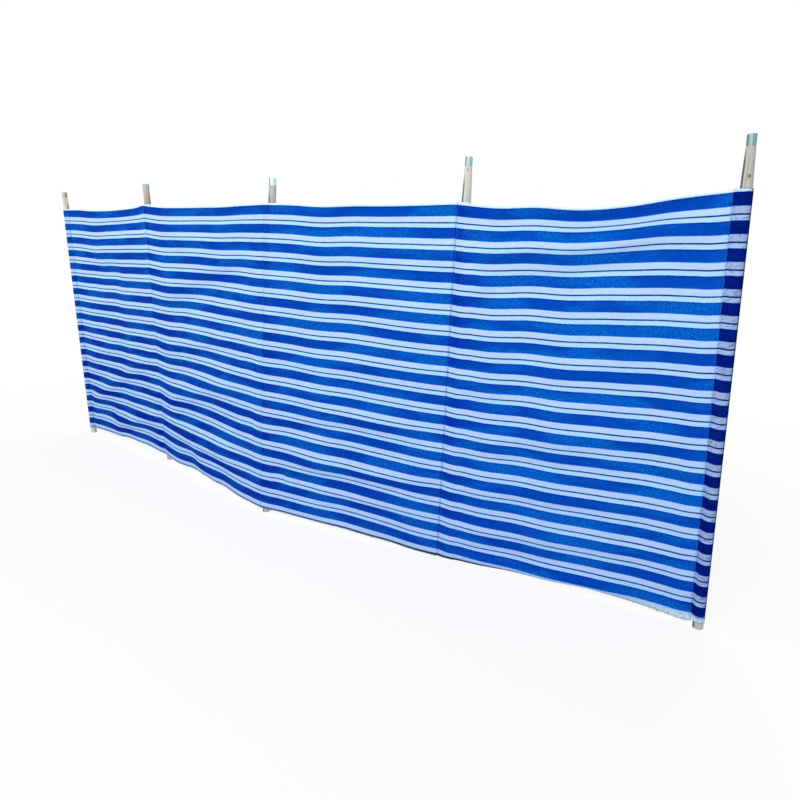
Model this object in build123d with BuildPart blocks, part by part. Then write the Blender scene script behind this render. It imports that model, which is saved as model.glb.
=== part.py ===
"""Beach windbreak: a striped cloth on five wooden poles that are pushed into the ground.

Millimetres, +Z up. +X runs along the windbreak, +Y points to its back, the side where the
pole pockets hang. The ground is Z = 0, and the origin is the middle of pole 3's foot.

The cloth is one long strip. Each end is wrapped round an end pole and sewn down as a hem,
and at each pole between, a fold of the cloth is stitched behind it as a pocket. So each
bay of cloth runs from one stitch line to the next, and hangs a little slack between them.
"""
import os
from math import exp, hypot, radians, tan

from build123d import *

os.makedirs("parts", exist_ok=True)

# ---- driving dimensions -------------------------------------------------------------
CLOTH_HEIGHT = 1200.0  # a 4 ft cloth
CLOTH_THICKNESS = 3.0  # the real cloth is about 0.5, so each bay is thicker than real
TOP_HEM_HEIGHT = 9.0  # the white turned edge along the top
TOP_HEM_THICKNESS = 4.0

POLE_DIAMETER = 29.0
HEAD_LENGTH = 110.0  # the pole narrows to its head over this length
HEAD_BEYOND_CAP = 0.6  # the head is this much wider than its cap
CAP_HEIGHT = 27.0
CAP_WALL = 0.8
CAP_EDGE_RADIUS = 2.0
CAP_TO_SPIGOT = 0.2  # how much the cap's bore clears the spigot it is pressed on
SHOULDER_CHAMFER = 0.8

SLEEVE_CLEARANCE = 0.6  # between a pole and the cloth round it
SLEEVE_THICKNESS = 1.6
SEAM_RADIUS = 1.8  # of the rounded edge where a sleeve's layers meet at the stitch line
END_HEM_WIDTH = (34.0, 40.0)  # from the cloth's end to the stitch line: foot, then top
POCKET_SETBACK = 24.0  # how far behind its stitch line a pocket's pole stands
SEAM_GAP = 0.3  # between a bay of cloth and the pocket or hem it is sewn to

# Each pole: where it stands at the ground (x, y), its lean along X and along Y in degrees,
# its length above the ground with its cap, and the height of the cloth's bottom edge there.
POLES = [
    (-1585.0, 165.0, 1.5, 0.2, 1313.0, 30.0),
    (-848.0, 146.0, 4.1, -1.6, 1319.0, 33.0),
    (0.0, 0.0, 1.77, 4.2, 1304.0, 16.0),
    (788.0, 103.0, 2.3, 0.1, 1322.0, 3.0),
    (1601.5, 165.0, -1.78, 0.0, 1330.0, 11.0),
]
# The heads are turned down by hand to take their caps, so each has its own cap's diameter.
CAP_DIAMETERS = [23.6, 26.4, 26.6, 21.6, 21.8]
# How far each pole stands to the right of its stitch line, at the ground and at the top.
POCKET_SIDE = [(0.0, 0.0), (-9.0, -7.0), (13.0, 16.0), (18.0, 20.0), (0.0, 0.0)]
# How far the cloth's top edge hangs below its full height at each pole, and how far it
# hangs down, and its bottom edge rises, in the middle of each bay.
TOP_DIP = [0.0, 0.0, 0.0, 8.0, 3.0]
TOP_SAG = [11.0, 10.0, 10.0, 26.0]
BOTTOM_RISE = [8.0, 12.0, 8.0, 2.0]
# The main folds of each bay, where the slack cloth buckles. Each is a ridge along a line
# between two points, and each point is a share of the bay's width and a distance down
# from the top edge. Then come half its breadth, and how far it stands out to the back,
# or with a minus sign to the front.
FOLDS = [
    [
        (0.40, 0, 0.90, 0, 85, 32),
        (0.20, 325, 0.62, 310, 62, 23),
        (0.50, 400, 0.30, 600, 60, 10),
        (0.08, 1010, 0.92, 700, 45, -20),
        (0.40, 1115, 0.90, 1020, 48, -25),
    ],
    [
        (0.30, 15, 0.90, 35, 40, 16),
        (0.15, 105, 0.65, 145, 30, -14),
        (0.15, 470, 0.85, 240, 60, 32),
        (0.10, 640, 0.72, 530, 32, -12),
        (0.15, 860, 0.75, 715, 56, -23),
        (0.25, 1040, 0.75, 1035, 62, -32),
        (0.40, 1120, 0.62, 1180, 55, -13),
    ],
    [
        (0.38, 40, 0.88, 5, 52, 26),
        (0.22, 225, 0.78, 235, 75, 17),
        (0.30, 400, 0.70, 400, 70, 17),
        (0.40, 745, 0.85, 730, 34, -17),
        (0.10, 845, 0.38, 830, 36, 11),
        (0.25, 950, 0.88, 925, 38, -23),
        (0.38, 1060, 0.82, 1040, 30, -13),
    ],
    [
        (0.05, 45, 0.92, 36, 26, 15),
        (0.08, 135, 0.88, 98, 28, -18),
        (0.28, 255, 0.70, 180, 42, 19),
        (0.05, 615, 0.45, 575, 32, 11),
        (0.25, 715, 0.92, 650, 32, -13),
        (0.05, 808, 0.95, 772, 28, 9),
        (0.05, 1060, 0.92, 1005, 28, -9),
    ],
]
FOLD_HOLD = 75.0  # a stitch line holds the cloth flat over this distance from it

LAST = len(POLES) - 1
STRIP_TOP = CLOTH_HEIGHT + 60.0  # above every top edge, before the strip is cut to it
HEM_LOFT = 90.0  # a top hem's strip reaches this far below the full height
LEVEL_STEP = 30.0  # between the level cuts that shape a bay
CUTS_ACROSS = 14  # points along each level cut, from one stitch line to the other
CUT_DEPTH = 2000.0  # deeper than the windbreak's bends
CUT_BEYOND = 6.0  # how far a cutting shape passes the ends of its bay


# ---- places -------------------------------------------------------------------------
def lean(k):
    """How far pole k moves along X and Y for each millimetre that it rises."""
    return Vector(tan(radians(POLES[k][2])), tan(radians(POLES[k][3])), 1)


def pole_line(k):
    """The middle line of pole k, as its points at the ground and at the cloth's height."""
    foot = Vector(POLES[k][0], POLES[k][1], 0)
    return foot, foot + lean(k) * CLOTH_HEIGHT


def point_at(line, z):
    foot, head = line
    return foot + (head - foot) * (z / CLOTH_HEIGHT)


def run_at(k):
    """The level direction in which the cloth runs past pole k."""
    first, last = POLES[max(k - 1, 0)], POLES[min(k + 1, LAST)]
    return Vector(last[0] - first[0], last[1] - first[1], 0).normalized()


def behind(run):
    """The level direction square to a run of cloth, towards the back."""
    return Vector(-run.Y, run.X, 0)


def stitch_line(k, side):
    """Where the cloth of a bay ends at pole k: on the stitch line of its pocket, in
    front of it, or on that of an end hem, on the bay's side of the end pole."""
    foot, head = pole_line(k)
    run = run_at(k)
    if k in (0, LAST):
        low, high = (width - POLE_DIAMETER / 2 for width in END_HEM_WIDTH)
        return foot + run * low * side, head + run * high * side
    low, high = POCKET_SIDE[k]
    back = behind(run) * POCKET_SETBACK
    return foot - run * low - back, head - run * high - back


def cloth_bottom(k):
    return POLES[k][5]


def cloth_top(k):
    """Height of the cloth's top edge at pole k: it is measured along the leaning pole."""
    return cloth_bottom(k) + CLOTH_HEIGHT / lean(k).length - TOP_DIP[k]


# ---- poles and caps -----------------------------------------------------------------
pole_radius = POLE_DIAMETER / 2
spigot_height = CAP_HEIGHT - CAP_WALL

for k in range(len(POLES)):
    axis = Plane(origin=pole_line(k)[0], z_dir=lean(k).normalized())
    shoulder_height = POLES[k][4] - CAP_HEIGHT
    head_start = shoulder_height - HEAD_LENGTH
    cap_radius = CAP_DIAMETERS[k] / 2
    spigot_radius = cap_radius - CAP_WALL - CAP_TO_SPIGOT

    with BuildPart() as pole:
        with BuildSketch(axis.offset(-POLE_DIAMETER)):
            Circle(pole_radius)
        extrude(amount=POLE_DIAMETER + head_start)
        with BuildSketch(axis.offset(head_start)):
            Circle(pole_radius)
        with BuildSketch(axis.offset(shoulder_height)):
            Circle(cap_radius + HEAD_BEYOND_CAP / 2)
        loft()
        shoulder = pole.faces().sort_by(Axis.Z)[-1]
        chamfer(shoulder.edges(), SHOULDER_CHAMFER)
        with BuildSketch(axis.offset(shoulder_height)):
            Circle(spigot_radius)
        extrude(amount=spigot_height)
        split(bisect_by=Plane.XY, keep=Keep.TOP)
    pole.part.label = f"pole_{k + 1}"
    export_step(pole.part, f"parts/{pole.part.label}.step")

    with BuildPart() as cap:
        with BuildSketch(axis.offset(shoulder_height)):
            Circle(cap_radius)
        extrude(amount=CAP_HEIGHT)
        crown = cap.faces().sort_by(Axis.Z)[-1]
        fillet(crown.edges(), CAP_EDGE_RADIUS)
        with BuildSketch(axis.offset(shoulder_height)):
            Circle(cap_radius - CAP_WALL)
        extrude(amount=spigot_height, mode=Mode.SUBTRACT)
    cap.part.label = f"cap_{k + 1}"
    export_step(cap.part, f"parts/{cap.part.label}.step")


# ---- pockets and end hems -----------------------------------------------------------
sleeve_radius = pole_radius + SLEEVE_CLEARANCE + SLEEVE_THICKNESS


def seam_centre(k, z):
    """The middle of the rounded edge of pole k's sleeve: behind the cloth of its bays
    where it is a pocket, and in line with the cloth of its bay where it is an end hem."""
    stitch = point_at(stitch_line(k, 1 if k == 0 else -1), z)
    if k in (0, LAST):
        inward = (point_at(pole_line(k), z) - stitch).normalized()
        return stitch + inward * (SEAM_GAP + SEAM_RADIUS)
    return stitch + behind(run_at(k)) * (TOP_HEM_THICKNESS / 2 + SEAM_GAP + SEAM_RADIUS)


def sleeve_outline(k, z, inset):
    """Cloth round pole k at height z: it leaves the stitch line as two layers, parts, and
    closes round the pole, so a level cut through it is a teardrop, hollow by inset."""
    centre = point_at(pole_line(k), z)
    reach = seam_centre(k, z) - centre
    place = Plane(origin=centre, x_dir=reach.normalized(), z_dir=(0, 0, 1))
    with BuildSketch(place) as outline:
        Circle(sleeve_radius - inset)
        with Locations((reach.length, 0)):
            Circle(SEAM_RADIUS - inset)
        make_hull()
    return outline.sketch.face()


for k in range(len(POLES)):
    heights = (cloth_bottom(k), cloth_top(k))
    with BuildPart() as sleeve:
        loft([sleeve_outline(k, z, 0) for z in heights], ruled=True)
        loft([sleeve_outline(k, z, SLEEVE_THICKNESS) for z in heights], ruled=True, mode=Mode.SUBTRACT)
    sleeve.part.label = f"sleeve_{k + 1}"
    export_step(sleeve.part, f"parts/{sleeve.part.label}.step")


# ---- bays of cloth and their top hems -----------------------------------------------
def down_from_top(k, share, z):
    """How far down the cloth, from its top edge, a point of bay k at height z is."""
    middle = 4 * share * (1 - share)
    top = cloth_top(k) * (1 - share) + cloth_top(k + 1) * share - TOP_SAG[k] * middle
    bottom = cloth_bottom(k) * (1 - share) + cloth_bottom(k + 1) * share
    bottom += BOTTOM_RISE[k] * middle
    return CLOTH_HEIGHT * (top - z) / (top - bottom)


def fold_depth(k, share, down, width):
    """How far bay k's folds take its cloth to the back of the plane between its poles."""
    depth = 0.0
    for share_1, down_1, share_2, down_2, half_breadth, height in FOLDS[k]:
        half_x = (share_2 - share_1) * width / 2
        half_y = (down_2 - down_1) / 2
        reach = hypot(half_x, half_y)
        x = share * width - (share_1 + share_2) * width / 2
        y = down - (down_1 + down_2) / 2
        lengthwise = (x * half_x + y * half_y) / reach / (reach * 1.1)
        crosswise = (y * half_x - x * half_y) / reach / half_breadth
        depth += height * exp(-(lengthwise**4) - crosswise**2)
    hold = min(share * width / FOLD_HOLD, (1 - share) * width / FOLD_HOLD, 1)
    return depth * hold * hold * (3 - 2 * hold)


def strip_section(k, z, thickness):
    """A level cut through bay k's cloth at height z: a thin wavy band."""
    first = point_at(stitch_line(k, 1), z)
    last = point_at(stitch_line(k + 1, -1), z)
    run = (last - first).normalized()
    width = (last - first).length
    start = first + run * SEAM_GAP
    end = last - run * SEAM_GAP
    half = behind(run) * (thickness / 2)
    middles = []
    for i in range(CUTS_ACROSS + 1):
        share = i / CUTS_ACROSS
        depth = fold_depth(k, share, down_from_top(k, share, z), width)
        middles.append(start + (end - start) * share + behind(run) * depth)
    with BuildSketch(Plane.XY.offset(z)) as section:
        with BuildLine():
            Spline(*[point - half for point in middles])
            Spline(*[point + half for point in middles])
            Line(start - half, start + half)
            Line(end - half, end + half)
        make_face()
    return section.sketch.face()


def strip_sections(k, lowest, thickness):
    """Bay k's level cuts, from near a lowest height to above its top edge."""
    levels = int((STRIP_TOP - lowest) / LEVEL_STEP)
    heights = [STRIP_TOP - i * LEVEL_STEP for i in range(levels, -1, -1)]
    return [strip_section(k, z, thickness) for z in heights]


def top_edge(k, drop):
    """The line that bay k's sagging top edge follows, lowered by drop, from the front."""
    start = point_at(stitch_line(k, 1), cloth_top(k))
    end = point_at(stitch_line(k + 1, -1), cloth_top(k + 1))
    middle = (start + end) / 2
    return ThreePointArc(
        (start.X - CUT_BEYOND, start.Z - drop),
        (middle.X, middle.Z - TOP_SAG[k] - drop),
        (end.X + CUT_BEYOND, end.Z - drop),
    )


def bottom_edge(k):
    """The line that bay k's bottom edge follows, from the front."""
    start = point_at(stitch_line(k, 1), cloth_bottom(k))
    end = point_at(stitch_line(k + 1, -1), cloth_bottom(k + 1))
    middle = (start + end) / 2
    return ThreePointArc(
        (start.X - CUT_BEYOND, start.Z),
        (middle.X, middle.Z + BOTTOM_RISE[k]),
        (end.X + CUT_BEYOND, end.Z),
    )


for k in range(LAST):
    with BuildPart() as panel:
        loft(strip_sections(k, 0, CLOTH_THICKNESS))
        with BuildSketch(Plane.XZ.offset(-CUT_DEPTH / 2)):
            with BuildLine():
                upper = top_edge(k, TOP_HEM_HEIGHT)
                lower = bottom_edge(k)
                Line(upper @ 0, lower @ 0)
                Line(upper @ 1, lower @ 1)
            make_face()
        extrude(amount=CUT_DEPTH, mode=Mode.INTERSECT)
    panel.part.label = f"cloth_bay_{k + 1}"
    export_step(panel.part, f"parts/{panel.part.label}.step")

    with BuildPart() as hem:
        loft(strip_sections(k, CLOTH_HEIGHT - HEM_LOFT, TOP_HEM_THICKNESS))
        with BuildSketch(Plane.XZ.offset(-CUT_DEPTH / 2)):
            with BuildLine():
                upper = top_edge(k, 0)
                lower = top_edge(k, TOP_HEM_HEIGHT)
                Line(upper @ 0, lower @ 0)
                Line(upper @ 1, lower @ 1)
            make_face()
        extrude(amount=CUT_DEPTH, mode=Mode.INTERSECT)
    hem.part.label = f"top_hem_{k + 1}"
    export_step(hem.part, f"parts/{hem.part.label}.step")
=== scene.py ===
# %% [markdown]
# # A beach windbreak
# A windbreak is one long strip of striped cloth on five wooden poles. Its maker cuts the
# strip flat, turns its top edge, sews a wide hem at each end and a pocket at each pole
# between, and only then does it hang, slack, from one pole to the next. This script goes
# the same way: each piece of cloth is shaped flat, and one function then hangs it.

# %% The frame
import math

import bpy
import numpy as np
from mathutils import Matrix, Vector


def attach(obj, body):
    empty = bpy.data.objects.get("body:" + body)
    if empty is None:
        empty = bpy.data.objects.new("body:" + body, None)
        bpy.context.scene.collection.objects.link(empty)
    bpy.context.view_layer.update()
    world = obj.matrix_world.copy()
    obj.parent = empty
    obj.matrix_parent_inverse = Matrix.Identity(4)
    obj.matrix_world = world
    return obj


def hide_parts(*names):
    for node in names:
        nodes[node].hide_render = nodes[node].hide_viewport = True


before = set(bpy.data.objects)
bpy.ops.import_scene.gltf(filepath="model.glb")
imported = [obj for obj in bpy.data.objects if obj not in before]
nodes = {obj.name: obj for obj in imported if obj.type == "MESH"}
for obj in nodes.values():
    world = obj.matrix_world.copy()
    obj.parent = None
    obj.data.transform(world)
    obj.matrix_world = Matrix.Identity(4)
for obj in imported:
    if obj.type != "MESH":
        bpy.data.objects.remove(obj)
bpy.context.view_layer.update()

# %% [markdown]
# ## Camera
# The viewer stands near the right end, a little lower than the poles' tops, and looks
# along the cloth, so the near end is tall and the far end small. A wide lens of 27 mm, as
# a phone has, gives that strong perspective without any shift.

# %% Camera
bpy.ops.object.camera_add(
    location=(1.7331, -1.5685, 1.0986),
    rotation=(math.radians(90 - 15.369), 0, math.radians(34.195)),
)
camera = bpy.context.object
camera.name = "camera"
camera.data.lens = 27.0
camera.data.sensor_width = 36.0
bpy.context.scene.camera = camera
print("camera at", [round(v, 3) for v in camera.location])


# %% [markdown]
# ## Colours and nodes
# Paint colours are written as they look on a screen, in hex, and Blender mixes light in
# linear numbers, so one function turns the first into the second. Another adds a node
# with its settings and all that feeds it, which keeps every material short. A material
# works out its masks first, and then lays its colours one over another in a loop.

# %% Helpers for materials
def colour(hex_text):
    """An sRGB hex colour as a linear red, green, blue and alpha."""
    parts = [int(hex_text[i:i + 2], 16) / 255 for i in (1, 3, 5)]
    linear = [v / 12.92 if v <= 0.04045 else ((v + 0.055) / 1.055) ** 2.4 for v in parts]
    return (*linear, 1.0)


def new_material(name):
    """A material whose node tree is still empty."""
    material = bpy.data.materials.new(name)
    material.use_nodes = True
    material.node_tree.nodes.clear()
    return material, material.node_tree


def add(tree, kind, inputs=(), **settings):
    """Adds a node with its settings. Its inputs come in their order or by name. Each is a
    value, or the socket that feeds it, or a node, which stands for its first socket."""
    node = tree.nodes.new("ShaderNode" + kind)
    for name, value in settings.items():
        setattr(node, name, value)
    in_order = [socket for socket in node.inputs if socket.enabled]
    for key, value in inputs.items() if isinstance(inputs, dict) else enumerate(inputs):
        socket = node.inputs[key] if isinstance(key, str) else in_order[key]
        if isinstance(value, bpy.types.Node):
            value = next(output for output in value.outputs if output.enabled)
        if isinstance(value, bpy.types.NodeSocket):
            tree.links.new(value, socket)
        else:
            socket.default_value = value
    return node


def level_way(degrees):
    """The level direction at this angle from x, seen from above."""
    angle = math.radians(degrees)
    return math.cos(angle), math.sin(angle), 0.0


print("linear mid grey", round(colour("#808080")[0], 3))


# %% [markdown]
# ## Floor and light
# The floor and the world are plain white to the eye. Light Path tells the eye's own rays
# from the rays that carry light, so the white background adds nothing to the cloth. The
# floor keeps a part of its own shading near the windbreak, for the shadow, and turns fully
# white with distance, so no horizon shows. Big soft lamps light the cloth as open sky does.

# %% Floor, world and lamps
WHITE = (1, 1, 1, 1)
WHITE_FROM, WHITE_AT = 1.8, 3.2  # metres from the middle, over which the floor turns white

bpy.ops.object.select_all(action="DESELECT")
bpy.ops.mesh.primitive_plane_add(size=60)
floor = bpy.context.object
floor.name = "floor"
paper, tree = new_material("matt white paper")
matt = add(tree, "BsdfDiffuse", {"Color": colour("#F4F4F4")})
white = add(tree, "Emission", {"Color": WHITE, "Strength": 1.0})
rays = add(tree, "LightPath").outputs
away = add(tree, "VectorMath", [add(tree, "TexCoord").outputs["Object"]], operation="LENGTH")
plain = add(tree, "MapRange", (away, WHITE_FROM, WHITE_AT, 0.8))
seen = add(tree, "Math", (rays["Is Camera Ray"], plain), operation="MULTIPLY")
add(tree, "OutputMaterial", [add(tree, "MixShader", (seen, matt, white))])
floor.data.materials.append(paper)

bpy.context.scene.view_settings.view_transform = "Standard"
world = bpy.data.worlds.new("white studio")
bpy.context.scene.world = world
world.use_nodes = True
tree = world.node_tree
tree.nodes.clear()
rays = add(tree, "LightPath").outputs
shown = add(tree, "Math", (rays["Is Camera Ray"], rays["Is Glossy Ray"]), operation="MAXIMUM")
shown = add(tree, "Math", (shown, rays["Is Transmission Ray"]), operation="MAXIMUM")
light = add(tree, "Background", {"Color": WHITE, "Strength": 0.5})
bright = add(tree, "Background", {"Color": WHITE, "Strength": 1.0})
add(tree, "OutputWorld", [add(tree, "MixShader", (shown, light, bright))])

# Each lamp: its name, place, breadth in metres and power in watts.
LAMPS = [
    ("front lamp", (1.2, -3.6, 3.6), 3.0, 125.0),
    ("left lamp", (-3.6, -2.6, 2.8), 2.5, 60.0),
    ("back lamp", (0.5, 3.6, 3.4), 3.0, 75.0),
]
for name, place, size, power in LAMPS:
    bpy.ops.object.light_add(type="AREA", location=place)
    lamp = bpy.context.object
    lamp.name = name
    lamp.data.size = size
    lamp.data.energy = power
    aim = Vector((0, 0, 0.6)) - Vector(place)
    lamp.rotation_euler = aim.to_track_quat("-Z", "Y").to_euler()
print(len(LAMPS), "lamps")


# %% [markdown]
# ## Where the cloth hangs
# Each bay of cloth is held by a stitch line at each side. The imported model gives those
# lines: they run between the bottom corner of a bay and the top corner of its top hem.
# A corner is the point that lies furthest out in a slanting direction.

# %% Stitch lines and poles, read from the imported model
def points_of(mesh):
    """The points of a mesh, one in each row."""
    flat = np.empty(len(mesh.vertices) * 3)
    mesh.vertices.foreach_get("co", flat)
    return flat.reshape(-1, 3)


def corner(name, right, up):
    """The middle of the front and back corners of a CAD sheet, at one of its four ends."""
    places = points_of(nodes[name].data)
    reach = places[:, 0] * SLANT * right + places[:, 2] * up
    return places[reach > reach.max() - CORNER_REACH].mean(axis=0)


BAYS = 4
POLES = 5
CLOTH_HEIGHT = 1.2
SLANT = 0.5  # height counts twice as much as x in the slanting direction to a corner
CORNER_REACH = 0.0002  # points this near the furthest one belong to the corner, metres
FOOT_REACH, HEAD_REACH = 0.0005, 0.003  # and these to the foot and the head of a pole
tops, feet, widths, backs = [], [], [], []
for k in range(BAYS):
    hem, bay = f"top_hem_{k + 1}", f"cloth_bay_{k + 1}"
    tops.append((corner(hem, -1, 1), corner(hem, 1, 1)))
    feet.append((corner(bay, -1, -1), corner(bay, 1, -1)))
    top_run = tops[k][1] - tops[k][0]
    foot_run = feet[k][1] - feet[k][0]
    widths.append((np.linalg.norm(top_run) + np.linalg.norm(foot_run)) / 2)
    level = foot_run[:2] / np.linalg.norm(foot_run[:2])
    backs.append(np.array([-level[1], level[0], 0.0]))
pole_feet, pole_heads = [], []
for k in range(POLES):
    places = points_of(nodes[f"pole_{k + 1}"].data)
    height = places[:, 2]
    pole_feet.append(places[height < FOOT_REACH].mean(axis=0))
    pole_heads.append(places[height > height.max() - HEAD_REACH].mean(axis=0))
    print("pole", k + 1, "foot", pole_feet[k].round(3), "head", pole_heads[k].round(3))
print("bay widths", [round(float(w), 3) for w in widths])

# %% [markdown]
# ## Folds
# The cloth is a little longer than the gap between its poles, so each bay buckles into
# soft folds. Each fold is a ridge or a valley along a short line: its two ends, as shares
# of the bay's width and as millimetres down from the top edge, then half its breadth and
# how far it stands out to the back (a minus sign: to the front), in millimetres.

# %% The folds of each bay
FOLDS = [
    [
        (0.4, 0, 0.9, 0, 85, 32), (0.15, 185, 0.6, 190, 30, -7), (0.2, 325, 0.62, 310, 62, 23),
        (0.5, 400, 0.3, 600, 60, 10), (0.08, 1010, 0.92, 700, 45, -20), (0.08, 800, 0.55, 620, 35, -6),
        (0.4, 1115, 0.9, 1020, 48, -25), (0.08, 1125, 0.35, 1050, 40, 9),
    ],
    [
        (0.3, 15, 0.9, 35, 40, 16), (0.15, 105, 0.65, 145, 30, -14), (0.15, 470, 0.85, 240, 60, 32),
        (0.2, 230, 0.5, 240, 60, 9), (0.1, 640, 0.72, 530, 32, -12), (0.15, 860, 0.75, 715, 56, -23),
        (0.25, 1040, 0.75, 1035, 60, -33), (0.4, 1120, 0.62, 1180, 55, -14), (0.85, 600, 0.95, 610, 45, 7),
        (0.88, 800, 0.92, 900, 45, 7),
    ],
    [
        (0.38, 40, 0.88, 5, 52, 26), (0.22, 225, 0.78, 235, 75, 17), (0.3, 400, 0.7, 400, 70, 17),
        (0.45, 560, 0.9, 520, 32, -8), (0.08, 590, 0.35, 630, 35, 9), (0.4, 745, 0.85, 730, 34, -17),
        (0.1, 845, 0.38, 830, 36, 11), (0.25, 950, 0.88, 925, 38, -24), (0.38, 1060, 0.82, 1040, 30, -14),
        (0.08, 1040, 0.15, 1040, 35, 8), (0.4, 1200, 0.7, 1190, 28, -7),
    ],
    [
        (0.05, 45, 0.92, 36, 25, 15), (0.45, 44, 0.85, 36, 22, 4), (0.08, 135, 0.88, 98, 28, -18),
        (0.08, 200, 0.14, 260, 45, -9), (0.26, 255, 0.7, 180, 42, 17), (0.4, 500, 0.95, 370, 36, -6),
        (0.05, 615, 0.45, 575, 32, 8), (0.25, 715, 0.92, 650, 32, -11), (0.05, 808, 0.95, 772, 27, 8),
        (0.05, 915, 0.8, 878, 22, -7), (0.05, 1060, 0.92, 1005, 25, -8), (0.1, 1135, 0.8, 1095, 20, 6),
        (0.3, 1182, 0.75, 1162, 20, -6),
    ],
]
# How far the lower edge curls to the back, in degrees, at even steps along each bay.
CURL = [
    [0, 5, 8, 8, 5, 0, 0],
    [0, 8, 12, 12, 8, 5, 0],
    [0, 8, 8, 8, 5, 5, 0],
    [5, 30, 45, 50, 50, 25, 0],
]
# How far the top edge hangs down, in millimetres, at even steps from one pole to the next.
TOP_DROP = [
    [0, 4, 11, 12, 10, 6, 0],
    [0, 9, 10, 9, 8, 3, 0],
    [0, 2, 8, 5, 5, 3, 1],
    [1, 16, 19, 30, 26, 11, 1],
]
# How much further the foot hangs down than the top edge, at the same steps, and the power
# of the height with which that grows: 1 is evenly, 4 is mostly near the foot.
FOOT_DROP = [
    [0, 0, 0, -2, -3, -3, 0],
    [0, 10, 14, 14, 13, 9, 0],
    [0, -2, -4, 0, 3, 4, 0],
    [0, 4, 8, 5, 4, 0, 0],
]
FOOT_POWER = [1, 4, 1, 1]
print("folds in each bay", [len(folds) for folds in FOLDS])


# %% [markdown]
# ## Hanging the cloth
# A function takes points of the flat cloth: how far along the bay, how far down from the
# top edge and how far behind the cloth, and gives their places on the hung cloth. Cloth
# doesn't stretch, so where a fold makes it slope, its lower edge is pulled up: the height
# is added up from the top edge in small steps, each as long as the cloth between them.

# %% From flat cloth to hung cloth
EDGE_HOLD = 0.075  # the stitch line holds the cloth straight this far into the bay, metres
GIVE = [0.0, 0.2, 0.5, 0.1]  # the part of that pull that each bay's threads give back
GROOVE = 0.0008  # how far a pocket's stitches pull the cloth in, metres
GROOVE_BREADTH = 0.005  # and how far from them that fades
CURL_FROM = 1.174  # the cut edge curls from here down, metres from the top
CURL_OVER = 0.008  # and reaches its full angle over this distance
STEEPEST = 0.9  # a fold's slope, so that the cloth beside it always has a height
GROUND_GAP = 0.0006  # nothing hangs lower than this


def smooth(x):
    x = np.clip(x, 0, 1)
    return x * x * (3 - 2 * x)


def through(values, share):
    """A smooth line through even steps of values (a Catmull-Rom spline)."""
    values = np.array([2 * values[0] - values[1], *values, 2 * values[-1] - values[-2]], float)
    place = np.clip(share, 0, 1) * (len(values) - 3)
    i = np.minimum(place.astype(int), len(values) - 4)
    t = place - i
    a, b, c, d = (values[i + j] for j in range(4))
    return b + 0.5 * t * (c - a + t * (2 * a - 5 * b + 4 * c - d + t * (3 * (b - c) + d - a)))


def ridges(folds, width, across, down):
    """The height of a set of folds at places on a flat cloth of this width, metres."""
    depth = np.zeros_like(across)
    for a1, s1, a2, s2, half, out in folds:
        line = np.array([(a2 - a1) * width, (s2 - s1) / 1000]) / 2
        reach = np.linalg.norm(line)
        line /= reach
        x = across - (a1 + a2) / 2 * width
        y = down - (s1 + s2) / 2000
        lengthwise = (x * line[0] + y * line[1]) / max(reach * 1.1, half / 1000)
        crosswise = (y * line[0] - x * line[1]) / (half / 1000)
        depth += out / 1000 * np.exp(-lengthwise ** 4 - crosswise ** 2)
    return depth


def fold_depth(bay, share, down):
    """How far the cloth stands behind the flat plane between its stitch lines, metres."""
    width = widths[bay]
    depth = ridges(FOLDS[bay], width, share * width, down)
    edge = np.minimum(share, 1 - share) * width
    sewn_to_pocket = np.where(share < 0.5, bay > 0, bay < BAYS - 1)
    groove = sewn_to_pocket * GROOVE * np.exp(-(edge / GROOVE_BREADTH) ** 2)
    return depth * smooth(edge / EDGE_HOLD) + groove


GRID_TOP, GRID_END, GRID_STEP = -0.02, 1.2401, 0.004  # metres down from the top edge
GRID_SHARE = np.linspace(0, 1, 161)
GRID_DOWN = np.arange(GRID_TOP, GRID_END, GRID_STEP)
top_row, foot_row = (round((down - GRID_TOP) / GRID_STEP) for down in (0, CLOTH_HEIGHT))
lifts = []
for bay in range(BAYS):
    share, down = np.meshgrid(GRID_SHARE, GRID_DOWN, indexing="ij")
    slope = np.gradient(fold_depth(bay, share, down), GRID_STEP, axis=1)
    slope = np.clip(slope, -STEEPEST, STEEPEST)
    lift = np.cumsum(1 - np.sqrt(1 - slope ** 2), axis=1) * GRID_STEP * (1 - GIVE[bay])
    lifts.append(lift - lift[:, [top_row]])
    print("bay", bay + 1, "folds lift its foot up to", lifts[bay][:, foot_row].max().round(3), "m")


def lift_at(bay, share, down):
    """The height that folds above a point have taken up, read from the summed grid."""
    i = np.clip(share, 0, 1) * (len(GRID_SHARE) - 1)
    j = np.clip((down - GRID_TOP) / GRID_STEP, 0, len(GRID_DOWN) - 1.001)
    i0, j0 = np.minimum(i.astype(int), len(GRID_SHARE) - 2), j.astype(int)
    i, j = i - i0, j - j0
    g = lifts[bay]
    return (g[i0, j0] * (1 - i) * (1 - j) + g[i0 + 1, j0] * i * (1 - j)
            + g[i0, j0 + 1] * (1 - i) * j + g[i0 + 1, j0 + 1] * i * j)


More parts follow.
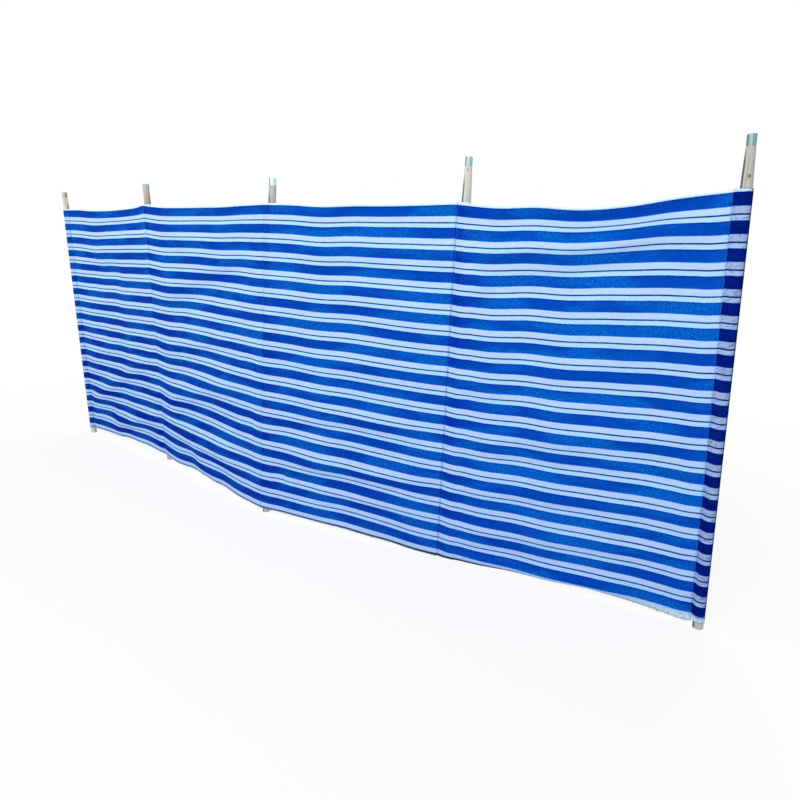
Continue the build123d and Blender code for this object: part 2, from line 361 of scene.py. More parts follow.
def cloth_surface(bay, along, down):
    """Points of the hung cloth of a bay, for places on the flat cloth, in metres."""
    share = along / widths[bay]
    curled = np.maximum(down - CURL_FROM, 0)
    angle = np.radians(through(CURL[bay], share)) * smooth(curled / CURL_OVER)
    down = np.minimum(down, CURL_FROM) + curled * np.cos(angle)
    left = tops[bay][0] + np.outer(down / CLOTH_HEIGHT, feet[bay][0] - tops[bay][0])
    right = tops[bay][1] + np.outer(down / CLOTH_HEIGHT, feet[bay][1] - tops[bay][1])
    places = left + (right - left) * share[:, None]
    places += np.outer(fold_depth(bay, share, down) + curled * np.sin(angle), backs[bay])
    foot_part = np.maximum(down / CLOTH_HEIGHT, 0) ** FOOT_POWER[bay]
    drop = through(TOP_DROP[bay], share) + through(FOOT_DROP[bay], share) * foot_part
    places[:, 2] += lift_at(bay, share, down) - drop / 1000
    return places


def move_to(piece, places):
    """Moves a piece's points to these places. Threads that reach the ground lie on it."""
    places[:, 2] = np.maximum(places[:, 2], GROUND_GAP)
    piece.data.vertices.foreach_set("co", places.ravel())
    piece.data.update()


def hang(piece, bay):
    """Moves a piece that was shaped flat (along, down, behind) to its place on the cloth."""
    along, down, behind = points_of(piece.data).T
    step = 0.001
    side = cloth_surface(bay, along + step, down) - cloth_surface(bay, along - step, down)
    drop = cloth_surface(bay, along, down + step) - cloth_surface(bay, along, down - step)
    normal = np.cross(side, drop)
    normal /= np.linalg.norm(normal, axis=1)[:, None]
    move_to(piece, cloth_surface(bay, along, down) + normal * behind[:, None])


# %% [markdown]
# ## The striped cloth
# The cloth is woven cotton canvas, dyed in the yarn. One repeat of its stripes is 66.5 mm
# high: a broad blue band, a wide pale one, a thin navy line and a narrow pale one. The UV
# map holds metres on the flat cloth, so the stripes bend with each fold, as woven ones do.
# Real threads are about 0.6 mm apart, too fine to show, so the weave is drawn at 2.4 mm.

# %% Stripes
REPEAT = 0.06648  # metres from one blue band to the next
TOP_EDGE = 0.0065  # the turned white edge above the first blue band
CLOTH_END = 1.196  # the lower edge is cut just below a navy line
HEM_START = 0.14  # cloth kept for a hem or pocket, before the bay that follows it
HEM_FOLD = 0.065  # from there to its outer fold
WANDER = 0.0014  # yarns aren't quite straight, so the stripes' edges wander by this much
sewn_at = [sum(widths[:k]) + HEM_START * k for k in range(BAYS + 1)]  # along the whole flat strip

# Where each yarn runs, from and to, as shares of a repeat.
STRIPES = [
    (0.0, 0.012, "mixed"), (0.02, 0.032, "deep"), (0.065, 0.48, "blue"), (0.488, 0.502, "mixed"),
    (0.508, 0.752, "wide"), (0.764, 0.816, "line"), (0.828, 0.994, "narrow"),
]
CANVAS_YARNS = {
    "blue": "#0255BD", "deep": "#002C86", "mixed": "#2E84EE", "wide": "#B2CFF3",
    "narrow": "#ABD4FB", "line": "#0C3F7C", "top": "#D6EEFF",
}
# The right hem's doubled cloth lets no light through from behind, so its yarns are given darker colours
# here: painted shade.
SHADED_DOUBLED_YARNS = {
    "blue": "#001E7E", "deep": "#001870", "mixed": "#3A62BC", "wide": "#9AB0D8",
    "narrow": "#9DBBE3", "line": "#082470", "top": "#C4DCF4",
}


def striped(tree, place, yarns):
    """The stripes of the cloth, in the colours of its yarns. A noise with cells of 17 by
    3 mm makes their edges wander."""
    stretch = add(tree, "Mapping", {"Vector": place, "Scale": (60, 300, 1)})
    wander = add(tree, "TexNoise", {"Vector": stretch, "Scale": 1.0, "Detail": 3.0})
    down = add(tree, "SeparateXYZ", [place]).outputs["Y"]
    shift = add(tree, "Math", (wander, WANDER, -WANDER / 2 - TOP_EDGE), operation="MULTIPLY_ADD")
    bent = add(tree, "Math", (down, shift), operation="ADD")
    repeats = add(tree, "Math", (bent, REPEAT), operation="DIVIDE")
    bar = add(tree, "ValToRGB", [add(tree, "Math", [repeats], operation="FRACT")])
    stops = [(where, yarn) for start, end, yarn in STRIPES for where in (start, end)]
    while len(bar.color_ramp.elements) < len(stops):
        bar.color_ramp.elements.new(1.0)
    for stop, (where, yarn) in zip(bar.color_ramp.elements, stops):
        stop.position = where
        stop.color = colour(yarns[yarn])
    above = add(tree, "Math", (bent, 0.0), operation="LESS_THAN")
    return add(tree, "Mix", (above, bar, colour(yarns["top"])), data_type="RGBA")


print("seams at", [round(float(v), 3) for v in sewn_at], "m along the flat strip")

# %% [markdown]
# ## Wear and painted shade
# Sun, salt and sand have worked on the cloth. Each kind of wear is a layer: a mask, a
# colour and how it is mixed in, and so is each place where shade is painted into the colour.
# Only the dyed yarns fade, so a mask of the dark stripes holds most layers back from the pale ones.

# %% Layers of wear and painted shade
SEAM_SHADES = (0.2, 0.6, 0.8)  # how much painted shade darkens the dye past each pocket seam
SHADE_REACH = 0.11  # and how far past the seam that goes, metres


def faded_and_darker_low(tree, along, down, dyed, speck, patch, patchy):
    """The dyed stripes are darker towards the foot of the cloth and its left end, and the pale ones
    towards the foot. Between them it has faded in specks, where single yarns took the dye differently, and
    in broad patches."""
    # The first two masks only darken the cloth towards its foot and its left end.
    low = add(tree, "MapRange", (down, 0.1, CLOTH_HEIGHT))
    left = add(tree, "MapRange", (along, 3.2, 0.8))
    most = add(tree, "Math", (left, 0.62, 0.16), operation="MULTIPLY_ADD")
    least = add(tree, "Math", (left, 0.42), operation="MULTIPLY")
    deeper_low_left = add(tree, "Math", (low, most, least), operation="MULTIPLY_ADD")
    deeper_low_left = add(tree, "Math", (deeper_low_left, dyed), operation="MULTIPLY")
    pale = add(tree, "Math", (1.0, dyed), operation="SUBTRACT")
    pale_darker_low = add(tree, "Math", (low, pale), operation="MULTIPLY")

    grain = add(tree, "MapRange", (speck, 0.48, 0.6))
    faded = add(tree, "Math", (patch, 0.75, 0.2), operation="MULTIPLY_ADD")
    faded = add(tree, "Math", (grain, faded), operation="MULTIPLY")
    share = add(tree, "Math", (left, 0.35 * patchy, 0.65 * patchy), operation="MULTIPLY_ADD")
    faded = add(tree, "Math", (faded, share), operation="MULTIPLY")
    part = add(tree, "Math", (dyed, 0.85, 0.15), operation="MULTIPLY_ADD")
    dull = add(tree, "Math", (add(tree, "MapRange", (speck, 0.48, 0.34)), part), operation="MULTIPLY")
    between = add(tree, "Math", (1.0, patch), operation="SUBTRACT")
    most_dyed = add(tree, "Math", (dyed, 0.65), operation="MULTIPLY")
    deep = add(tree, "Math", (between, most_dyed), operation="MULTIPLY")
    return [
        (deeper_low_left, "#FF9ACC", "MULTIPLY"), (pale_darker_low, "#EEF0FD", "MULTIPLY"), (faded, "#105C6C", "ADD"),
        (dull, "#CED8EE", "MULTIPLY"), (deep, "#FFC0EC", "MULTIPLY"),
    ]


def painted_seam_shade(tree, along, down, dyed, darker):
    """Painted shade: past each pocket seam the pocket and its pole behind the cloth keep light
    from coming through, so the dyed stripes are darkened there, most of all in a narrow band near the top."""
    layers = []
    higher = add(tree, "MapRange", (down, 0.1, 0.55, darker, 0.1))
    part = add(tree, "Math", (dyed, 0.85, 0.15), operation="MULTIPLY_ADD")
    for seam, wide_shade in zip(sewn_at[1:BAYS], SEAM_SHADES):
        past = add(tree, "Math", (along, seam), operation="SUBTRACT")
        shade = add(tree, "MapRange", (past, SHADE_REACH, 0.03, 0.0, wide_shade))
        after = add(tree, "Math", (past, 0.0), operation="GREATER_THAN")
        shade = add(tree, "Math", (shade, after), operation="MULTIPLY")
        shade = add(tree, "Math", (shade, dyed), operation="MULTIPLY")
        off = add(tree, "Math", (along, seam + 0.012), operation="SUBTRACT")
        band = add(tree, "MapRange", (add(tree, "Math", [off], operation="ABSOLUTE"), 0.018, 0.009))
        band = add(tree, "Math", (band, higher), operation="MULTIPLY")
        band = add(tree, "Math", (band, part), operation="MULTIPLY")
        # Both layers are painted shade.
        layers += [(shade, "#FFC8F0", "MULTIPLY"), (band, "#B4B8E4", "MULTIPLY")]
    return layers


def painted_fold_shade(tree, along):
    """Painted shade: a thin dark line down the outer fold of each end hem, where the cloth turns away."""
    layers = []
    for fold in (sewn_at[0] + 0.006, sewn_at[BAYS] - 0.007):
        off = add(tree, "Math", (along, fold - HEM_START + HEM_FOLD), operation="SUBTRACT")
        off = add(tree, "Math", [off], operation="ABSOLUTE")
        layers.append((add(tree, "MapRange", (off, 0.008, 0.004, 0.0, 0.75)), "#6E7888", "MULTIPLY"))
    return layers


def fine_creases(tree, place, depth):
    """Doubled cloth that has been rolled up keeps fine creases, which slant to its fold:
    they run where a noise with cells of 36 by 9 mm crosses its middle value. The same mask makes their
    bump and their painted shade."""
    slant = {"Vector": place, "Rotation": (0, 0, 0.3), "Scale": (0.036, 0.009, 1)}
    slanted = add(tree, "Mapping", slant, vector_type="TEXTURE")
    noise = add(tree, "TexNoise", {"Vector": slanted, "Scale": 1.0, "Detail": 1.0})
    off = add(tree, "Math", (noise, 0.5), operation="SUBTRACT")
    off = add(tree, "Math", [off], operation="ABSOLUTE")
    return add(tree, "MapRange", (off, 0.045, 0.0, 0.0, depth))


def sandy_foot(tree, along, down, speck):
    """Near its end the foot of the cloth has bleached and holds grit. The rest of its cut
    edge holds wet sand, most of it in the last bay, so it is grey and uneven there; that dark edge is
    partly painted shadow under the cut edge."""
    near = add(tree, "MapRange", (along, 3.15, 3.5))
    curled = add(tree, "MapRange", (down, CURL_FROM, CURL_FROM + 0.006))
    bleached = add(tree, "Math", (curled, near), operation="MULTIPLY")
    grit = add(tree, "MapRange", (speck, 0.54, 0.6, 0.0, 0.8))
    grit = add(tree, "Math", (grit, bleached), operation="MULTIPLY")
    sand = add(tree, "MapRange", (along, 1.6, 2.7, 0.25, 1.0))
    before = add(tree, "Math", (1.0, near), operation="SUBTRACT")
    sand = add(tree, "Math", (sand, before), operation="MULTIPLY")
    fray = add(tree, "Math", (speck, 0.012, down), operation="MULTIPLY_ADD")
    fray = add(tree, "Math", (sand, 0.005, fray), operation="MULTIPLY_ADD")
    # This dark edge is wet sand and painted shadow along the cut edge.
    wet = add(tree, "MapRange", (fray, CLOTH_END, CLOTH_HEIGHT))
    wet = add(tree, "Math", (wet, sand), operation="MULTIPLY")
    return [(bleached, "#C6E4F4", "MIX"), (grit, "#4C5E68", "MIX"), (wet, "#26323C", "MIX")]


# %% Canvas
RIB_PITCH = 0.0024  # metres between the ribs that stand for threads
WAVE_LENGTH = 0.31416  # a wave texture of scale 1 repeats over this length


def canvas(name, yarns, darker, patchy, creased):
    """Yarn-dyed cotton canvas, soft and matt. The last three numbers are how dark the painted
    shade beside a seam is, how patchy it has faded and how creased it is, which also sets the painted
    shade in its creases."""
    material, tree = new_material(name)
    place = add(tree, "UVMap", uv_map="flat cloth")
    along, down, _ = add(tree, "SeparateXYZ", [place]).outputs
    cloth = striped(tree, place, yarns)
    red = add(tree, "SeparateColor", [cloth])
    dyed = add(tree, "MapRange", (red, 0.22, 0.04))
    # Specks of 4 by 8 mm, and patches of about 220 by 80 mm.
    fine = add(tree, "Mapping", {"Vector": place, "Scale": (230, 130, 1)})
    speck = add(tree, "TexNoise", {"Vector": fine, "Scale": 1.0, "Detail": 4.0, "Roughness": 0.7})
    broad = add(tree, "Mapping", {"Vector": place, "Scale": (4.5, 13, 1)})
    cloud = add(tree, "TexNoise", {"Vector": broad, "Scale": 1.0, "Detail": 3.0})
    patch = add(tree, "MapRange", (cloud, 0.44, 0.58))
    creases = fine_creases(tree, place, creased)

    layers = faded_and_darker_low(tree, along, down, dyed, speck, patch, patchy)
    layers += painted_seam_shade(tree, along, down, dyed, darker) + painted_fold_shade(tree, along)
    # The creases' layer is painted shade in them.
    layers += [(creases, "#A4A6BC", "MULTIPLY")] + sandy_foot(tree, along, down, speck)
    for mask, tone, how in layers:
        cloth = add(tree, "Mix", (mask, cloth, colour(tone)), data_type="RGBA", blend_type=how)

    # Two sets of ribs, one for each direction of thread.
    rib = {"Vector": place, "Scale": WAVE_LENGTH / RIB_PITCH, "Distortion": 1.5, "Detail": 2.0}
    warp = add(tree, "TexWave", rib, bands_direction="X").outputs["Fac"]
    weft = add(tree, "TexWave", rib, bands_direction="Y").outputs["Fac"]
    height = add(tree, "Math", (warp, weft), operation="ADD")
    height = add(tree, "Math", (speck, 1.2, height), operation="MULTIPLY_ADD")
    height = add(tree, "Math", (creases, -2.0, height), operation="MULTIPLY_ADD")
    bump = add(tree, "Bump", {"Strength": 0.3, "Distance": 0.0006, "Height": height})
    soft = {"Base Color": cloth, "Roughness": 0.9, "Specular IOR Level": 0.02, "Normal": bump}
    add(tree, "OutputMaterial", [add(tree, "BsdfPrincipled", soft)])
    print(name, "has", len(layers), "layers of wear")
    return material


one_layer = canvas("yarn-dyed canvas", CANVAS_YARNS, 0.65, 1.0, 0.0)
# Painted shade: the doubled cloth's darker yarns.
two_layers_shaded = canvas("yarn-dyed canvas, two layers, painted shade", SHADED_DOUBLED_YARNS, 0.0, 0.15, 0.8)

# %% [markdown]
# ## Bays of cloth
# Each bay starts as a flat grid with the size of its cut, with one vertex about every 7 mm,
# fine enough for its folds. It gets its UV map while it is flat. Then it is hung, and
# Solidify makes it 0.9 mm thick, a little thicker than real canvas.

# %% The four bays
CANVAS_THICKNESS = 0.0009
CLOTH_STEP = 0.007  # between the vertices of a bay
OVERLAP = 0.0004  # a bay reaches this far past each stitch line, so that no gap shows
TUCK = 0.0008  # and starts this far below the top edge, inside its hem


def deselect():
    if bpy.context.mode != "OBJECT":
        bpy.ops.object.mode_set(mode="OBJECT")
    bpy.ops.object.select_all(action="DESELECT")


def apply(piece, kind, **settings):
    """Adds a modifier with its settings and applies it."""
    deselect()
    piece.select_set(True)
    bpy.context.view_layer.objects.active = piece
    modifier = piece.modifiers.new(kind.title(), kind)
    for name, value in settings.items():
        setattr(modifier, name, value)
    bpy.ops.object.modifier_apply(modifier=modifier.name)


def flat_grid(name, start, end, top, bottom, step):
    """A flat piece of cloth: x runs along it and y down from the top edge, metres."""
    deselect()
    across = max(2, round((end - start) / step))
    downward = max(2, round((bottom - top) / step))
    bpy.ops.mesh.primitive_grid_add(x_subdivisions=across, y_subdivisions=downward, size=1)
    piece = bpy.context.object
    piece.name = name
    bpy.ops.object.mode_set(mode="EDIT")
    bpy.ops.mesh.select_all(action="SELECT")
    bpy.ops.transform.resize(value=(end - start, bottom - top, 1))
    bpy.ops.transform.translate(value=((start + end) / 2, (top + bottom) / 2, 0))
    bpy.ops.object.mode_set(mode="OBJECT")
    return piece


def map_flat(piece, start=0.0):
    """A UV map in metres on the flat cloth, from the piece's own flat shape."""
    mesh = piece.data
    while mesh.uv_layers:
        mesh.uv_layers.remove(mesh.uv_layers[0])
    layer = mesh.uv_layers.new(name="flat cloth")
    owner = np.empty(len(mesh.loops), int)
    mesh.loops.foreach_get("vertex_index", owner)
    uv = points_of(mesh)[owner][:, :2] + (start, 0)
    layer.data.foreach_set("uv", uv.ravel())


def finish_piece(piece, material, slot, *stands_for):
    """Smooth shading, its material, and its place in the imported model."""
    deselect()
    piece.select_set(True)
    bpy.context.view_layer.objects.active = piece
    bpy.ops.object.shade_smooth()
    piece.data.materials.clear()
    piece.data.materials.append(material)
    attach(piece, "root")
    if stands_for:
        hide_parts(*stands_for)


for k in range(BAYS):
    name, end = f"striped_cloth_{k + 1}", widths[k] + OVERLAP
    bay = flat_grid(name, -OVERLAP, end, TUCK, CLOTH_END, CLOTH_STEP)
    map_flat(bay, sewn_at[k])
    hang(bay, k)
    apply(bay, "SOLIDIFY", thickness=CANVAS_THICKNESS, offset=0)
    finish_piece(bay, one_layer, "cloth", f"cloth_bay_{k + 1}")
    print(bay.name, len(bay.data.polygons), "faces")

# %% [markdown]
# ## Top hem
# The top edge of the cloth is turned over once and sewn, which leaves a firm white edge
# 6.5 mm high. It is a second, thicker strip with a rounded upper edge, hung by the same
# function, so it follows every pucker of the cloth below it.

# %% The four top hems
HEM_THICKNESS = 0.0026
HEM_STEP = 0.003  # between its vertices
HEM_ROUNDING = 0.0008  # of its edges
for k in range(BAYS):
    hem = flat_grid(f"top_edge_{k + 1}", -OVERLAP, widths[k] + OVERLAP, 0.0, TOP_EDGE, HEM_STEP)
    map_flat(hem, sewn_at[k])
    hang(hem, k)
    apply(hem, "SOLIDIFY", thickness=HEM_THICKNESS, offset=0)
    apply(hem, "BEVEL", width=HEM_ROUNDING, segments=2, limit_method="ANGLE",
          angle_limit=math.radians(60))
    finish_piece(hem, one_layer, "hem_cloth", f"top_hem_{k + 1}")
    print(hem.name, len(hem.data.polygons), "faces")

# %% [markdown]
# ## End hems and pockets
# At each pole the cloth goes round the wood in two layers that meet on a stitch line: seen
# from above it is a teardrop. It is shaped flat too, and then wrapped: the function walks
# along the teardrop, out from the stitch line in front, round the pole and back behind it.

# %% Wrapping the cloth round a pole
POLE_RADIUS = 0.0145
SLEEVE_RADIUS = POLE_RADIUS + 0.0012  # of the cloth's middle where it goes round the pole
POCKET_BEHIND = 0.0012  # a pocket's seam lies this far behind the cloth of its bays


def seam_line(pole):
    """The stitch line of a pole, as its top and foot: a bay's side edge, or for a pocket
    the line midway between two bays, a little behind the cloth."""
    if pole == 0:
        return tops[0][0], feet[0][0]
    if pole == POLES - 1:
        return tops[-1][1], feet[-1][1]
    top = (tops[pole - 1][1] + tops[pole][0]) / 2
    foot = (feet[pole - 1][1] + feet[pole][0]) / 2
    back = (backs[pole - 1] + backs[pole]) / 2 * POCKET_BEHIND
    return top + back, foot + back


def axis_at(pole, height):
    foot, head = pole_feet[pole], pole_heads[pole]
    return foot + np.outer((height - foot[2]) / (head[2] - foot[2]), head - foot)


def teardrop(pole, along, down):
    """Points on the sleeve of a pole, where along runs from 0 to 1 round the teardrop,
    and the length once round it."""
    top, foot = seam_line(pole)
    seam = top + np.outer(down / CLOTH_HEIGHT, foot - top)
    centre = axis_at(pole, seam[:, 2])
    reach = (seam - centre) * (1, 1, 0)
    gap = np.linalg.norm(reach, axis=1)
    out = reach / gap[:, None]
    side = np.cross(out, (0, 0, 1))  # to the left of the way out, seen from above
    turn = np.arccos(np.clip(SLEEVE_RADIUS / gap, -1, 1))
    straight = np.sqrt(gap ** 2 - SLEEVE_RADIUS ** 2)
    arc = SLEEVE_RADIUS * (2 * math.pi - 2 * turn)
    length = 2 * straight + arc
    walk = along * length
    angle = turn + np.clip((walk - straight) / SLEEVE_RADIUS, 0, arc / SLEEVE_RADIUS)
    outward, sideways = np.cos(angle) * SLEEVE_RADIUS, np.sin(angle) * SLEEVE_RADIUS
    on_arc = outward[:, None] * out + sideways[:, None] * side
    first = np.clip(walk / straight, 0, 1)[:, None]
    last = np.clip((length - walk) / straight, 0, 1)[:, None]
    flat_part = out * gap[:, None]
    places = centre + flat_part + (on_arc - flat_part) * np.minimum(first, last)
    places[:, 2] = seam[:, 2]
    return places, float(length.mean())


def wrap(piece, pole):
    """Moves a piece that was shaped flat (along, down, outward) to its place on a sleeve."""
    along, down, out = points_of(piece.data).T
    share = np.clip(along / rounds[pole], 0, 1)
    step = 0.002
    after, _ = teardrop(pole, np.clip(share + step, 0, 1), down)
    before, _ = teardrop(pole, np.clip(share - step, 0, 1), down)
    normal = np.cross((0, 0, 1), after - before)
    normal /= np.linalg.norm(normal, axis=1)[:, None]
    move_to(piece, teardrop(pole, share, down)[0] + normal * out[:, None])


# Small diagonal creases where the doubled cloth of the near hem has been rolled, written as
# the folds are: two ends, half the breadth, and the height, which is outwards here.
CREASES = [
    (0.72, 60, 0.95, 130, 8, 1.5), (0.66, 190, 0.98, 235, 8, -0.5), (0.7, 330, 0.97, 290, 8, 1.6),
    (0.64, 455, 0.96, 520, 8, 1.3), (0.7, 640, 0.98, 600, 8, 1.6), (0.66, 770, 0.95, 830, 8, -0.5),
    (0.7, 955, 0.98, 920, 8, 1.6), (0.66, 1035, 0.96, 1050, 7, 1.4), (0.62, 1150, 0.97, 1125, 7, 1.5),
]
NAMES = ["left_hem", "pole_pocket_2", "pole_pocket_3", "pole_pocket_4", "right_hem"]
SLEEVE_STEPS = [0.006, 0.006, 0.006, 0.006, 0.004]  # between vertices, fine where it is creased
HEM_BOTTOM = [1.196, 1.196, 1.196, 1.195, 1.188]  # where each hem or pocket is cut, metres down
NEAR_TOP_AND_FOOT = np.array([0.1, 1.1])  # a sleeve's length round is its mean of these heights
rounds = [teardrop(k, np.zeros(2), NEAR_TOP_AND_FOOT)[1] for k in range(POLES)]
for k in range(POLES):
    sleeve = flat_grid(NAMES[k], 0.0, rounds[k], 0.0, HEM_BOTTOM[k], SLEEVE_STEPS[k])
    map_flat(sleeve, sewn_at[k] - HEM_START)
    if k == POLES - 1:
        flat = points_of(sleeve.data)
        flat[:, 2] = ridges(CREASES, rounds[k], flat[:, 0], flat[:, 1])
        sleeve.data.vertices.foreach_set("co", flat.ravel())
    wrap(sleeve, k)
    apply(sleeve, "SOLIDIFY", thickness=CANVAS_THICKNESS, offset=0)
    doubled = two_layers_shaded if k == POLES - 1 else one_layer
    finish_piece(sleeve, doubled, "pocket_cloth", f"sleeve_{k + 1}")
    print(sleeve.name, "is", round(rounds[k], 3), "m round")

# %% [markdown]
# ## Thread
# The machine's thread shows as a row of short raised stitches along each seam and along the
# top hem. One stitch is modelled: a six-sided bar that is drawn in at both ends, where it
# dives into the cloth. Array copies it along the flat seam, and the function that hung the
# cloth hangs the row, so the stitches follow every fold. Real ones are about 3 mm long;
# these are 5 mm, so that they show.

# %% The thread's material and rows of stitches
STITCH = 0.005
PITCH = 0.0078  # from one stitch to the next
BAR, TAPER = 0.6, 0.2  # the parts of a stitch that its straight bar and each end take up
FROM_SEAM = 0.003  # a row of stitches lies this far inside its bay
SEAM_FROM, SEAM_TO = 0.004, 1.188  # a seam's row, metres down
THREAD_TWIST = 0.0009  # metres for one turn of the thread's strands


def sewing_thread(name, tone, shadow):
    """Twisted polyester thread: a little glossier than cotton, darker between its strands."""
    material, tree = new_material(name)
    place = add(tree, "TexCoord").outputs["Object"]
    turns = {"Vector": place, "Scale": WAVE_LENGTH / THREAD_TWIST, "Distortion": 1.0}
    twist = add(tree, "TexWave", turns, bands_direction="DIAGONAL").outputs["Fac"]
    strands = add(tree, "Mix", (twist, colour(shadow), colour(tone)), data_type="RGBA")
    bump = add(tree, "Bump", {"Strength": 0.4, "Distance": 0.0002, "Height": twist})
    sheen = {"Base Color": strands, "Roughness": 0.6, "Specular IOR Level": 0.2, "Normal": bump}
    add(tree, "OutputMaterial", [add(tree, "BsdfPrincipled", sheen)])
    return material


pale_thread = sewing_thread("pale polyester thread", "#C6DFEE", "#98B4CC")
blue_thread = sewing_thread("blue polyester thread", "#6A9CE0", "#3C70C4")
dark_thread = sewing_thread("sandy wet cotton thread", "#4A5A68", "#1E2C3C")


def stitch_row(name, bay, start, end, material, thickness, front):
    """Stitches in a line from start to end, both (along, down). They lie half sunk in the
    face of the cloth, which is this far in front of its middle."""
    deselect()
    run = np.subtract(end, start)
    length = float(np.linalg.norm(run))
    run = run / length
    bpy.ops.mesh.primitive_cylinder_add(vertices=6, radius=thickness / 2, depth=STITCH * BAR)
    row = bpy.context.object
    row.name = name
    bpy.ops.object.mode_set(mode="EDIT")
    bpy.ops.mesh.select_mode(type="FACE")
    bpy.ops.mesh.select_all(action="DESELECT")
    bpy.ops.object.mode_set(mode="OBJECT")
    for face in row.data.polygons:
        face.select = abs(face.normal.z) > 0.9
    bpy.ops.object.mode_set(mode="EDIT")
    bpy.ops.mesh.inset(use_individual=True, thickness=thickness / 4, depth=STITCH * TAPER)
    bpy.ops.object.mode_set(mode="OBJECT")
    row.rotation_euler = Vector((*run, 0)).to_track_quat("Z", "Y").to_euler()
    row.location = (*(np.array(start) + run * STITCH / 2), -front)
    bpy.ops.object.transform_apply(location=True, rotation=True, scale=True)
    step = run * PITCH
    apply(row, "ARRAY", count=int(length / PITCH), use_relative_offset=False, use_constant_offset=True,
          constant_offset_displace=(step[0], step[1], 0))
    hang(row, bay)
    finish_piece(row, material, "hem_cloth")
    return row


on_hem = (pale_thread, 0.0009, HEM_THICKNESS / 2)
on_cloth = (blue_thread, 0.0006, CANVAS_THICKNESS / 2)
for k in range(BAYS):
    hem_line, last = TOP_EDGE - 0.0014, widths[k] - FROM_SEAM
    rows = [stitch_row(f"hem_stitches_{k + 1}", k, (SEAM_FROM, hem_line), (last, hem_line), *on_hem)]
    beside = [(k + 1, FROM_SEAM), (k + 2, last)] if k == BAYS - 1 else [(k + 1, FROM_SEAM)]
    for seam, along in beside:
        ends = (along, SEAM_FROM), (along, SEAM_TO)
        rows.append(stitch_row(f"seam_stitches_{seam}", k, *ends, *on_cloth))
    print("bay", k + 1, sum(len(row.data.polygons) for row in rows), "faces of stitches")

# %% [markdown]
# ## The cut edge
# The foot of the cloth isn't hemmed. Its last threads have worked loose and hang as a short
# uneven fringe, dark where they hold wet sand, and longest at the near end. One thread is a
# four-sided cone; Array makes the row, and each copy is then given its own length and slant
# in the flat, from a seeded draw, before the row is hung. Real threads are 0.6 mm apart and
# thinner than a hair; these are 1.8 mm apart and three times as thick, so that they show.

# %% A fringe of loose threads
THREAD_GAP = 0.0018
THREAD_RADII = (0.0007, 0.0003)  # at its root and at its end
ROOT = 0.0015  # each thread starts this far inside the cloth
# The longest thread, in millimetres, at even steps along each bay, and along a hem.
LONGEST = [[5, 5, 6, 5, 5], [5, 6, 6, 5, 5], [5, 5, 6, 8, 9], [9, 5, 4, 5, 8]]
HEM_LONGEST = [6, 5, 5, 6]
# The higher, the fewer threads of a bay or a hem are dark with sand.
CLEAN = [0.5, 0.5, 0.2, -0.2]
HEM_CLEAN = 0.2
CLUMP = 11  # sand clings in patches about this many threads wide
draw = np.random.default_rng(7)


def fringe(name, length, bottom, longest, clean):
    """A row of loose threads below a cut edge, still flat. longest is in millimetres."""
    deselect()
    # The first cone is 1 m long, so that each copy is then as long as its share of that.
    root, tip = THREAD_RADII
    middle = (THREAD_GAP / 2, bottom + 0.5, 0)
    bpy.ops.mesh.primitive_cone_add(vertices=4, radius1=root, radius2=tip, depth=1,
                                    location=middle, rotation=(-math.pi / 2, 0, 0))
    threads = bpy.context.object
    threads.name = name
    bpy.ops.object.transform_apply(location=True, rotation=True, scale=True)
    corners = len(threads.data.vertices)
    faces = len(threads.data.polygons)
    count = int(length / THREAD_GAP)
    apply(threads, "ARRAY", count=count, use_relative_offset=False, use_constant_offset=True,
          constant_offset_displace=(THREAD_GAP, 0, 0))
    flat = points_of(threads.data).reshape(count, corners, 3)
    share = np.arange(count) / count
    reach = draw.uniform(0.3, 1.0, count) ** 1.5 * through(longest, share) / 1000
    slant = draw.normal(0, 0.35, count)
    lean = draw.normal(0, 0.2, count)
    below = (flat[:, :, 1] - bottom) * reach[:, None]
    flat[:, :, 0] += slant[:, None] * below
    flat[:, :, 1] = bottom - ROOT + below
    flat[:, :, 2] += lean[:, None] * below
    threads.data.vertices.foreach_set("co", flat.ravel())
    wave = np.convolve(draw.normal(0, 1, count + CLUMP - 1), np.ones(CLUMP) / CLUMP, "valid")
    return threads, np.repeat(wave > clean, faces)


def finish_fringe(threads, dark):
    finish_piece(threads, pale_thread, "hem_cloth")
    threads.data.materials.append(dark_thread)
    threads.data.polygons.foreach_set("material_index", dark.astype(int))
    threads.data.update()


for k in range(BAYS):
    threads, dark = fringe(f"frayed_edge_{k + 1}", widths[k], CLOTH_END, LONGEST[k], CLEAN[k])
    hang(threads, k)
    finish_fringe(threads, dark)
for k in range(POLES):
    name = f"frayed_pocket_edge_{k + 1}"
    threads, dark = fringe(name, rounds[k], HEM_BOTTOM[k], HEM_LONGEST, HEM_CLEAN)
    wrap(threads, k)
    finish_fringe(threads, dark)

# %% [markdown]
# ## What was cut
# Each bay and each hem is one sheet, cut flat.

# %% Sheets
print(BAYS + POLES, "sheets, cut from", round(float(sum(widths)) + sum(rounds), 2), "m of cloth")

# %% [markdown]
# ## Wood
# The poles are softwood dowels that have stood in sun and rain: the fibres have gone pale
# grey, with darker lines where soft grain has worn away. The grain runs along the pole, so
# noise in Object coordinates is squeezed across it and drawn out along it.

